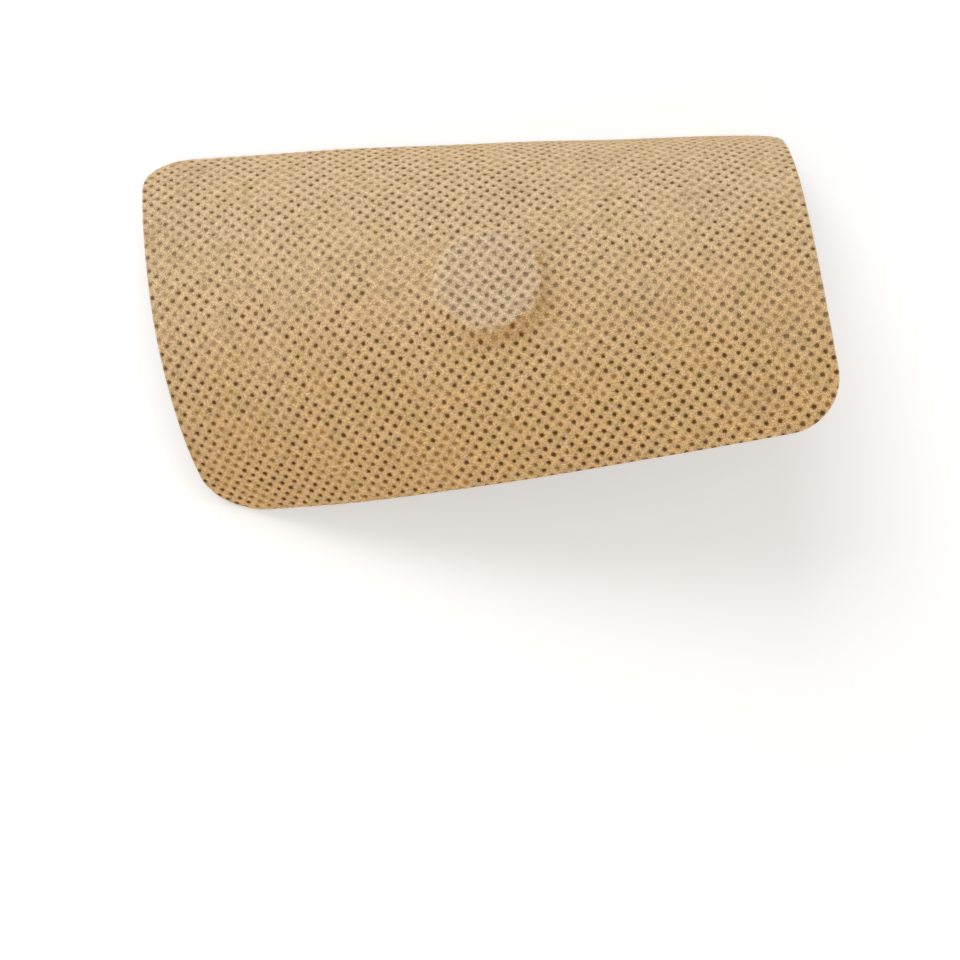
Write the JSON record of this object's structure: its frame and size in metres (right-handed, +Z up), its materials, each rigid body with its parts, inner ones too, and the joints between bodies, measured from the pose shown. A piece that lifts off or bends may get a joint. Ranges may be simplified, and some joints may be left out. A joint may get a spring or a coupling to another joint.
{
  "type": "far infrared patch",
  "caption": "Dotted cloth plaster bent as on a limb, with rounded corners, a smooth dark adhesive layer beneath and a round disc raised under its middle.",
  "frame": {"origin": "on the floor, under the middle of the patch's box as it rests on three corners, arch up", "axes": "+X along the patch's length, +Y across it, +Z up"},
  "size_m": [0.1206, 0.0728, 0.0402],
  "materials": {
    "backing_cloth": "tan non-woven cloth with a lattice of small pressed dots",
    "adhesive": "smooth tacky dark brown sheet",
    "disc": "matte pressed mineral pellet"
  },
  "bodies": {
    "root": {"backing_fabric": "backing_cloth", "adhesive_layer": "adhesive", "infrared_disc": "disc"}
  },
  "joints": []
}
